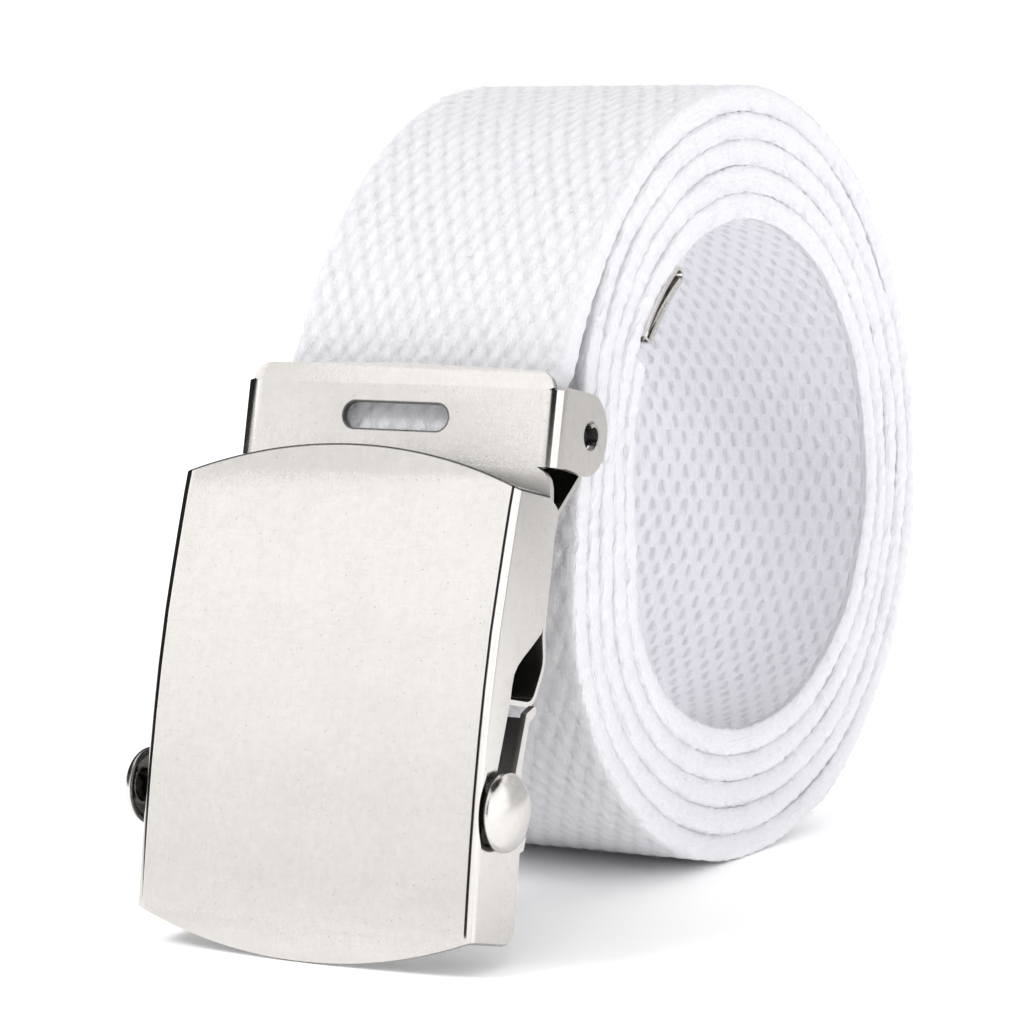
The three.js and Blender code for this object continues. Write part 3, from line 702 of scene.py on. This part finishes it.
def soften(piece, width, segments=2):
    """Rounds a piece's sharp edges and evens its shading."""
    made = piece.modifiers.new("bevel", "BEVEL")
    made.width = width
    made.segments = segments
    made.limit_method = "ANGLE"
    made.angle_limit = math.radians(SOFT_ANGLE)
    made.use_clamp_overlap = True
    piece.data.shade_smooth()
    even = piece.modifiers.new("even", "WEIGHTED_NORMAL")
    even.keep_sharp = True
    even.mode = "FACE_AREA"
    even.weight = SHADING_WEIGHT
    even.thresh = 0.02
    bpy.context.view_layer.update()
    return settle(piece)


def arc(centre, radius, first, last, steps):
    """Points of an arc, from one angle in degrees to another."""
    angles = np.radians(np.linspace(first, last, steps + 1))
    return [(centre[0] + radius * math.cos(a), centre[1] + radius * math.sin(a)) for a in angles]


def fold_profile(half, front, sheet, zones, depth):
    """Cross section of a folded sheet. Each zone is a length of the bend and the slope where it ends."""
    angle, u, s = 0.0, 0.0, 0.0
    run = [(0.0, 0.0)]
    for length, last in zones:
        steps = max(int(round((last - angle) / 5)), 3)
        for i in range(steps):
            slope = math.radians(angle + (last - angle) * (i + 0.5) / steps)
            u += length / steps * math.cos(slope)
            s += length / steps * math.sin(slope)
            run.append((u, s))
        angle = last
    base = half - u
    outer = [(base + p, front + q) for p, q in run] + [(half, front + depth)]
    inner = [(half - sheet, front + depth), (half - sheet, front + sheet)]
    outline = [(-p, q) for p, q in reversed(outer)] + outer
    outline += inner + [(-p, q) for p, q in reversed(inner)]
    return outline, base


def buckle_piece(piece, name, material, body, node_name):
    """Names a piece and moves it from the buckle's frame to its place."""
    piece.name = name
    piece.data.name = name
    piece.data.transform(buckle_matrix())
    piece.data.update()
    return dress(piece, material, body, "nickel", node_name)


def set_shade_and_gloss(piece, dark=None, gloss=None):
    """Point values that the metal material reads: how far the sheet is darkened, by painted shade and by the
    face's darkening towards the bottom, and how polished it is there.
    """
    for name, values in (("dark", dark), ("gloss", gloss)):
        if values is None:
            values = np.zeros(len(piece.data.vertices))
        held = piece.data.attributes.new(name, "FLOAT", "POINT")
        held.data.foreach_set("value", np.asarray(values, dtype=np.float32))


def set_place(piece, across, up):
    """Point values for the painted dark line along a cut edge: where the point lies on the sheet."""
    point_values(piece.data, "sheet_place", np.column_stack([across, up, 0 * up]))


def vectors(items, field):
    flat = np.zeros(len(items) * 3)
    items.foreach_get(field, flat)
    return flat.reshape(-1, 3)


def sheet_points(piece):
    """Across, up and depth of every point of a piece in the buckle's frame."""
    across, up, front = vectors(piece.data.vertices, "co").T
    return across, up, -front


FACE_SHEET, WALL_REACH = 0.8, 14.0
SLOT_HALF = 2.1
# Beyond the buckle's widest point
OUTSIDE = 26
FACE_ZONES = [(0.25, 8), (0.30, 16), (1.16, 90)]
# The face's bow: height up the plate and how far the sheet stands forward there
FACE_BOW = [
    (-31.5, -0.35),
    (-24.8, 0.58),
    (-20.5, 0.93),
    (-15.0, 1.33),
    (-9.6, 1.62),
    (-3.0, 1.78),
    (2.6, 1.78),
    (9.1, 1.55),
    (14.2, 1.12),
    (19.4, 0.61),
    (23.6, 0.15),
    (31.5, -1.0),
]


def bowed_channel(outline):
    """The folded sheet, run up the plate and bowed forward at each height."""
    rings = []
    for up, forward in FACE_BOW:
        rings.append([(p, up, -q + forward * (1 - q / WALL_REACH)) for p, q in outline])
    return stack("face_work", rings)


def wall_outline(bottom_up):
    """Edge of a side wall (up, depth), with the slanted slot that opens at its middle."""
    aside = SLOT_HALF / math.cos(math.radians(SLOT_SLANT))
    wall = [(32, -3), (32, 7.5), (25.45, 7.6), (25.35, 8.1), (24.95, 8.95), (24.55, 9.55), (24.1, 9.9)]
    wall += [(22.9, 9.87), (20.7, 9.4), (18.3, 9.15), (16.1, 9.0), (11.1, 9.2), (9.95, 8.7)]
    wall += [(8.21, 6.69), (6.94, 5.13), (5.88, 4.02), (4.78, 3.33), (3.4, 3.1)]
    wall += [(1.8, slot_middle(1.8) - aside)]
    wall += arc((bottom_up, slot_middle(bottom_up)), SLOT_HALF, SLOT_SLANT - 90, SLOT_SLANT - 270, 16)
    wall += [(0.6, slot_middle(0.6) + aside), (1.6, 8.8), (1.4, 9.3), (0.6, 9.2), (-0.4, 8.0), (-5.5, 7.25)]
    wall += [(-8.3, 7.5), (-11.1, 9.3), (-13.7, 9.8), (-15, 9.5), (-15.3, 8.7), (-24.3, 9.3)]
    return wall + [(-25.3, 8.9), (-25.7, 8.2), (-32, 8.1), (-32, -3)]


def face_plate():
    profile, base = fold_profile(FACE_HALF, 0.0, FACE_SHEET, FACE_ZONES, WALL_REACH)
    plate = bowed_channel(profile)
    spread = math.degrees(math.asin(FACE_HALF / ARCH_RADIUS))
    centre, side = FACE_ARCH - ARCH_RADIUS, FACE_HALF + 1
    outline = [(side, FACE_CORNER)] + arc((0, centre), ARCH_RADIUS, 90 - spread, 90 + spread, 40)
    outline += [(-side, FACE_CORNER), (-side, -FACE_CORNER)]
    outline += arc((0, -centre), ARCH_RADIUS, 270 - spread, 270 + spread, 40) + [(side, -FACE_CORNER)]
    combine(plate, prism("cut", outline, -3, 15, "front"), "INTERSECT")
    sides = prism("cut", wall_outline(SLOT_BOTTOM_UP), 0.0, OUTSIDE, "side")
    combine(sides, prism("add", wall_outline(LEFT_SLOT_BOTTOM_UP), -OUTSIDE, 0.0, "side"), "UNION")
    combine(plate, sides, "INTERSECT")

    # A small flange inside each wall
    inside = [(0.1, 7.22), (0.1, 8.0), (-5.5, 7.25), (-8.5, 6.8), (-8.5, 6.0), (-5.5, 6.45)]
    for low, high in ((18.4, FACE_HALF - 0.1), (-FACE_HALF + 0.1, -18.4)):
        combine(plate, prism("add", inside, low, high, "side"), "UNION")
    soften(plate, 0.28, 4)

    # The folds are polished; the hidden inside, which lies in shade, gets painted shade, and the lower half
    # of the face is a little darker towards the bottom
    across, up, depth = sheet_points(plate)
    heights, forwards = np.array(FACE_BOW).T
    depth = depth + np.interp(up, heights, forwards)
    fold = smooth((np.abs(across) - base + 0.05) / 0.1) * smooth(1 - (depth - 1.0) / 0.4)
    shaded_inside = (np.abs(across) < FACE_HALF - FACE_SHEET + 0.12) & (depth > FACE_SHEET - 0.25)
    lower_darkening = 0.21 * smooth((-2 - up) / 20) * smooth((up + 30) / 5) * (np.abs(depth) < 0.4)
    set_shade_and_gloss(plate, gloss=fold, dark=np.where(shaded_inside, 0.6, lower_darkening))
    set_place(plate, across, up)
    return buckle_piece(plate, "buckle_front_plate", satin_plate, "belt", "buckle_face")


EAR_UP, EAR_DEPTH, EAR_RADIUS = 34.15, 16.95, 4.95
PIVOT_UP, PIVOT_DEPTH = 34.1, 17.85
BRACKET_ZONES = [(1.0, 8), (0.65, 16), (1.16, 90)]


def bracket():
    front, sheet, half, notch_up = 9.66, 0.9, 21.8, 29.3
    profile, base = fold_profile(half, front, sheet, BRACKET_ZONES, 14.0)
    piece = prism("bracket_work", profile, notch_up, 39.6, "cross")
    side = [(38.3, front - 1), (38.4, 10.4), (38.9, 11.75)]
    side += arc((EAR_UP, EAR_DEPTH), EAR_RADIUS, 10, 170, 28)
    side += [(29.4, 14.75), (29.5, 12.6), (notch_up + 0.05, 11.6), (notch_up, front - 1)]
    combine(piece, prism("cut", side, -OUTSIDE, OUTSIDE, "side"), "INTERSECT")
    half_plate = arc((18.4, 38.2), 2.4, 10, 90, 10)[::-1]
    half_plate += [(base, 38.1), (base, notch_up + 0.02), (20.8, 28.6), (21.3, 27.9), (21.58, 27.0)]
    half_plate += [(21.7, 26), (21.8, 24.4), (21.8, 12.8), (18.6, 11.6), (18.6, 5.2), (17.6, 4.2)]
    rest = [(-p, q) for p, q in reversed(half_plate)]
    plate = prism("plate", [(0, 41.0)] + half_plate + rest, front, front + sheet, "front")
    combine(piece, plate, "UNION")
    hole = arc((PIVOT_UP, PIVOT_DEPTH), 1.75, 0, 352.5, 47)
    combine(piece, prism("cut", hole, -OUTSIDE, OUTSIDE, "side"), "DIFFERENCE")
    middle, level = SLOT_MIDDLE
    slot = arc((middle + SLOT_REACH, level), SLOT_RADIUS, -90, 90, 16)
    slot += arc((middle - SLOT_REACH, level), SLOT_RADIUS, 90, 270, 16)
    combine(piece, prism("cut", slot, front - 1, front + sheet + 1, "front"), "DIFFERENCE")
    soften(piece, 0.15, 3)
    across, up, depth = sheet_points(piece)
    depth = depth - front
    fold = smooth((np.abs(across) - base + 0.1) / 0.2) * smooth(1 - (depth - 1.0) / 0.4)
    fold = fold * smooth((up - 29.0) / 0.6)
    # Painted shade on the sheet's inner side behind the plate and between the walls, which lies in shade
    shaded_inside = (depth > sheet - 0.3) & (np.abs(across) < half - sheet)
    set_shade_and_gloss(piece, gloss=fold, dark=np.where(shaded_inside, 0.7, 0.0))
    set_place(piece, across, up)
    return buckle_piece(piece, "buckle_rear_bracket", satin_bracket, "belt", "buckle_bracket")


def rounded(points, radii):
    """Replaces each inner corner of a path by a smooth bend."""
    steps = 8
    path = [points[0]]
    for i in range(1, len(points) - 1):
        corner = Vector(points[i])
        back = (Vector(points[i - 1]) - corner).normalized()
        ahead = (Vector(points[i + 1]) - corner).normalized()
        half = back.angle(ahead) / 2
        reach = radii[i - 1] / math.tan(half)
        start, end = corner + back * reach, corner + ahead * reach
        for k in range(steps + 1):
            t = k / steps
            spot = start * (1 - t) ** 2 + corner * 2 * t * (1 - t) + end * t**2
            path.append((spot.x, spot.y))
    path.append(points[-1])
    return path


def sheet_outline(path, sheet):
    """Outline of an even sheet whose middle follows a path."""
    middle = np.array(path)
    step = np.diff(middle, axis=0)
    step /= np.linalg.norm(step, axis=1)[:, None]
    before = np.vstack([step[:1], step])
    after = np.vstack([step, step[-1:]])
    along = before + after
    along /= np.linalg.norm(along, axis=1)[:, None]
    reach = sheet / 2 / np.maximum((along * after).sum(axis=1), 0.5)
    offset = np.stack([-along[:, 1], along[:, 0]], axis=1) * reach[:, None]
    return [tuple(p) for p in middle + offset] + [tuple(p) for p in (middle - offset)[::-1]]


def lever():
    sheet, half, curl = 0.6, 20.4, 1.1
    rear = PIVOT_DEPTH + curl
    pivot = (PIVOT_UP, PIVOT_DEPTH)
    corners = [(1.8, 7.15), (1.8, 12.75), (6.8, 14.65), (10.1, 13.75), (23.8, 13.75), (29.5, rear)]
    tail = rounded(corners + [(PIVOT_UP, rear)], [2.4, 4.0, 3.0, 2.5, 1.8])
    path = tail + arc(pivot, curl, 75, -75, 16) + [(30.4, 14.0)]
    piece = prism("lever_work", sheet_outline(path, sheet), -half, half, "side")
    # Each nib is a curled lug, open towards the front, with a solid core behind it painted black as shade
    nib_radius, bore, nib_start, nib_end, shade_core_end = 1.5, 1.05, 19.7, 22.2, 20.9
    lug = arc(pivot, nib_radius, -40, 130, 24) + arc(pivot, bore, 130, -40, 24)
    shade_core = arc(pivot, nib_radius, 0, 350, 35)
    for side in (1, -1):
        for outline, end in ((lug, nib_end), (shade_core, shade_core_end)):
            low, high = sorted((side * nib_start, side * end))
            combine(piece, prism("add", outline, low, high, "side"), "UNION")
    pitch, notch_half, notch_low, notch_top = 2.6, 0.78, 28.9, 31.3
    count = int(2 * half / pitch)
    for i in range(count):
        across = (i - (count - 1) / 2) * pitch
        tooth = [(across - notch_half, notch_low), (across + notch_half, notch_low), (across, notch_top)]
        combine(piece, prism("cut", tooth, 12.0, 17.0, "front"), "DIFFERENCE")
    soften(piece, 0.10)
    across, up, depth = sheet_points(piece)
    ahead = vectors(piece.data.vertex_normals, "vector")[:, 2]
    near_pivot = np.hypot(up - PIVOT_UP, depth - PIVOT_DEPTH) < nib_radius + 0.2
    in_shade_core = (np.abs(across) > half + 0.1) & (np.abs(across) < shade_core_end + 0.3) & near_pivot
    # Painted shade: the nib cores black, and faces turned towards the buckle's front, into its shaded inside,
    # darker
    set_shade_and_gloss(piece, dark=np.where(in_shade_core, 1.0, 0.35 * smooth(ahead * 1.5)))
    return buckle_piece(piece, "buckle_clamp_lever", bright, "lever", "clamp_lever")


DOME_POINTS, BAR_STEPS = 25, 64


def lathe(name, profile):
    """A closed solid of revolution about the across axis, through the bar's place in the buckle."""
    rings = []
    tilt = math.radians(BAR_TILT)
    for radius, at in profile:
        angles = 2 * np.pi * np.arange(BAR_STEPS) / BAR_STEPS
        aside = radius * np.sin(angles)
        across = at * math.cos(tilt) - aside * math.sin(tilt)
        up = BAR_UP + at * math.sin(tilt) + aside * math.cos(tilt)
        rings.append(np.stack([across, up, -BAR_DEPTH + radius * np.cos(angles)], axis=-1))
    made = tube(name, np.array(rings))
    face_outwards(made.data)
    return made


def slide_bar():
    head, rise, shank, wall = HEAD_RADIUS, HEAD_RISE, 1.8, 0.5

    def dome(rim, sign):
        run = []
        for i in range(DOME_POINTS):
            a = math.radians(90 - 90 * i / (DOME_POINTS - 1))
            run.append((max(head * math.cos(a), 0.02), rim + sign * rise * math.sin(a)))
        return run

    def hollow(rim, sign):
        """The rolled rim and the inside of a head, down to the shank."""
        rolled = [(0.02, 0.14), (-0.06, 0.27), (-0.22, 0.33), (-0.42, 0.26)]
        run = [(head + wider, rim - sign * inwards) for wider, inwards in rolled]
        for i in range(1, 9):
            a = math.radians(80 * i / 8)
            radius = (head - 0.5) * math.cos(a)
            if radius < shank + 0.35:
                break
            run.append((radius, rim + sign * (rise - wall) * math.sin(a) - sign * 0.1))
        last = run[-1][1]
        run += [(shank + 0.3, last + sign * 0.1), (shank + 0.08, last + sign * 0.02)]
        return run + [(shank, last - sign * 0.25)]

    right = dome(RIGHT_RIM, 1) + hollow(RIGHT_RIM, 1)
    left = dome(LEFT_RIM, -1) + hollow(LEFT_RIM, -1)
    profile = right + [(shank, 18.0), (shank, 0.0), (shank, -18.0)] + left[::-1]
    piece = lathe("bar_work", profile)
    # The domes are clean; the insides of the heads get painted shade, nearly black, and the shank painted
    # shade too
    dark = [0.0] * DOME_POINTS + [0.95] * (len(right) - DOME_POINTS) + [0.6] * 3
    dark += [0.95] * (len(left) - DOME_POINTS) + [0.0] * DOME_POINTS
    dark += [dark[0], dark[-1]]
    set_shade_and_gloss(piece, dark=np.repeat(dark, BAR_STEPS))
    return buckle_piece(piece, "buckle_slide_bar", bright, "bar", "slide_bar")


def tip_wall(angle, inset):
    """A point in the innermost turn, at an angle round the roll and a depth under its outer side."""
    turns = (START_ANGLE - angle) / 360 + 5
    radius = float(outer_radius(np.array(angle), np.array(turns))) - inset
    a = math.radians(angle)
    return (radius * math.cos(a), ROLL_HEIGHT + radius * math.sin(a))


def belt_tip():
    sheet, half, lip_width, fold_angle, steps = TIP_SHEET, 19.1, 0.35, 125.6, 18
    inset = sheet + TIP_GAP + TIP_STRAP + sheet / 2
    mid = (sheet / 2 + inset) / 2
    angles = [TIP_OPEN_ANGLE + (fold_angle - TIP_OPEN_ANGLE) * i / steps for i in range(steps + 1)]
    outer = [tip_wall(angle, sheet / 2) for angle in angles]
    inner = [tip_wall(angle, inset) for angle in angles]
    turn = arc(tip_wall(fold_angle, mid), mid - sheet / 2, fold_angle, fold_angle - 180, 14)[1:-1]
    piece = prism("web_metal_tip", sheet_outline(outer + turn + inner[::-1], sheet), -half, half, "roll")
    # The stamped sides are pinched in over part of the strap's edge, more at the open end
    depths = [inset - (0.75 - 0.40 * i / steps) * (inset - sheet / 2) for i in range(steps + 1)]
    pinched = [tip_wall(angle, depth) for angle, depth in zip(angles, depths)]
    for low in (-half, half - lip_width):
        combine(piece, prism("add", inner + pinched[::-1], low, low + lip_width, "roll"), "UNION")
    soften(piece, 0.07)
    set_shade_and_gloss(piece)
    piece.data.transform(Matrix.Translation(Vector(SHIFT * MM)) @ Matrix.Scale(MM, 4))
    piece.data.update()
    return dress(piece, tip_nickel, "belt", "nickel", "belt_tip")


face_plate()
bracket()
lever()
slide_bar()
belt_tip()


# Floor, light and camera


def floor():
    mesh = bpy.data.meshes.new("floor")
    size = 6.0
    corners = [(-size, -size, 0), (size, -size, 0), (size, size, 0), (-size, size, 0)]
    mesh.from_pydata(corners, [], [(0, 1, 2, 3)])
    made = add_object("floor", mesh)
    material, tree, shader = new_material("pale_floor")
    grain = noise(tree, millimetres(tree), 0.05, 2.0)[0]
    paths = node(tree, "ShaderNodeLightPath").outputs
    seen = mixed(tree, paths["Is Camera Ray"], 1.6, 1.33)
    place = node(tree, "ShaderNodeSeparateXYZ", {0: millimetres(tree)})
    far = map_range(tree, place.outputs[1], -150.0, 600.0)
    # Painted shade for the metal's reflections: to glossy rays the floor grows darker farther back
    mirrored_falloff = ramp(tree, far, [(0.0, 1.25), (0.2, 1.10), (0.36, 0.98), (0.8, 0.52), (1.0, 0.48)])
    shiny = mixed(tree, paths["Is Glossy Ray"], seen, mirrored_falloff)
    tone = product(tree, map_range(tree, grain, 0.3, 0.7, 0.88, 0.90), shiny)
    plain = node(tree, "ShaderNodeBsdfDiffuse", {"Color": toned(tree, (1.0, 1.0, 1.0), tone)})
    tree.nodes.remove(shader)
    output = next(n for n in tree.nodes if n.type == "OUTPUT_MATERIAL")
    tree.links.new(plain.outputs[0], output.inputs[0])
    mesh.materials.append(material)


# Brightness of the studio's panels as the metal mirrors them, by degrees to the right of the front, -Y
PANELS = [
    (1, 0.02),
    (4, 1.45),
    (112, 1.45),
    (128, 0.72),
    (200, 0.62),
    (209, 0.02),
    (312, 0.02),
    (314, 2.0),
    (318, 1.24),
    (343, 1.20),
    (346, 0.02),
]


def light_room():
    """A white studio. Diffuse light is soft and even, and reflections also see dark gaps between panels."""
    world = bpy.data.worlds.new("studio")
    bpy.context.scene.world = world
    world.use_nodes = True
    tree = world.node_tree
    tree.nodes.clear()
    place = node(tree, "ShaderNodeTexCoord")
    x, y, rise = node(tree, "ShaderNodeSeparateXYZ", {0: place.outputs["Generated"]}).outputs
    turn = math_node(tree, "ARCTAN2", x, product(tree, y, -1.0))
    share = math_node(tree, "FRACT", multiply_add(tree, turn, 1 / (2 * math.pi), 1.0))
    panels = ramp(tree, share, [(degrees / 360, value) for degrees, value in PANELS])
    high = node(tree, "ShaderNodeMapRange", {0: rise, 1: 0.60, 2: 0.74}, interpolation_type="SMOOTHSTEP")
    seen_above = mixed(tree, high.outputs[0], panels, map_range(tree, rise, 0.84, 0.90, 1.15, 0.02))
    low = ramp(tree, rise, [(0.0, 1.08), (0.10, 0.90), (0.19, 0.87), (0.29, 0.96), (0.36, 1.0), (0.5, 0.97)])
    reflected = product(tree, seen_above, low)
    diffuse = map_range(tree, rise, 0.0, 1.0, 1.02, 0.93)
    paths = node(tree, "ShaderNodeLightPath").outputs
    lit = mixed(tree, paths["Is Glossy Ray"], diffuse, reflected)
    shown = mixed(tree, paths["Is Camera Ray"], lit, 1.05)
    background = node(tree, "ShaderNodeBackground", {"Strength": shown})
    background.inputs["Color"].default_value = (1.0, 1.0, 1.0, 1.0)
    node(tree, "ShaderNodeOutputWorld", {"Surface": background.outputs[0]})


def sun(name, direction, strength, spread):
    """A soft light that the metal doesn't mirror."""
    data = bpy.data.lights.new(name, "SUN")
    data.energy = strength
    data.angle = math.radians(spread)
    made = add_object(name, data)
    made.visible_glossy = False
    made.rotation_euler = Vector(direction).to_track_quat("-Z", "Y").to_euler()


# The camera's place in millimetres, its angles in degrees, and its focal length in pixels
CAMERA_PLACE = np.array([245.44, -457.259, 101.384])
CAMERA_TURN, CAMERA_FALL, CAMERA_ROLL = 29.804, 6.301, -0.585
FOCAL_PIXELS, PICTURE_PIXELS, SENSOR = 3984.881, 1024, 36


def camera():
    turn, fall, roll = (math.radians(angle) for angle in (CAMERA_TURN, CAMERA_FALL, CAMERA_ROLL))
    right = Vector((math.cos(turn), math.sin(turn), 0))
    ahead = Vector((-math.sin(turn) * math.cos(fall), math.cos(turn) * math.cos(fall), -math.sin(fall)))
    up = right.cross(ahead)
    rolled_right = right * math.cos(roll) + up * math.sin(roll)
    rolled_up = up * math.cos(roll) - right * math.sin(roll)
    data = bpy.data.cameras.new("camera")
    data.sensor_width = SENSOR
    data.lens = FOCAL_PIXELS / PICTURE_PIXELS * SENSOR
    data.clip_start, data.clip_end = 0.01, 50
    made = add_object("camera", data)
    facing = Matrix((rolled_right, rolled_up, -ahead)).transposed().to_4x4()
    made.matrix_world = Matrix.Translation(Vector((CAMERA_PLACE + SHIFT) * MM)) @ facing
    bpy.context.scene.camera = made


floor()
light_room()
sun("key_light", (0.42, 0.52, -0.74), 1.06, 20)
sun("side_light", (-1.0, 0.12, -0.03), 0.28, 60)
camera()
bpy.context.scene.view_settings.view_transform = "Standard"
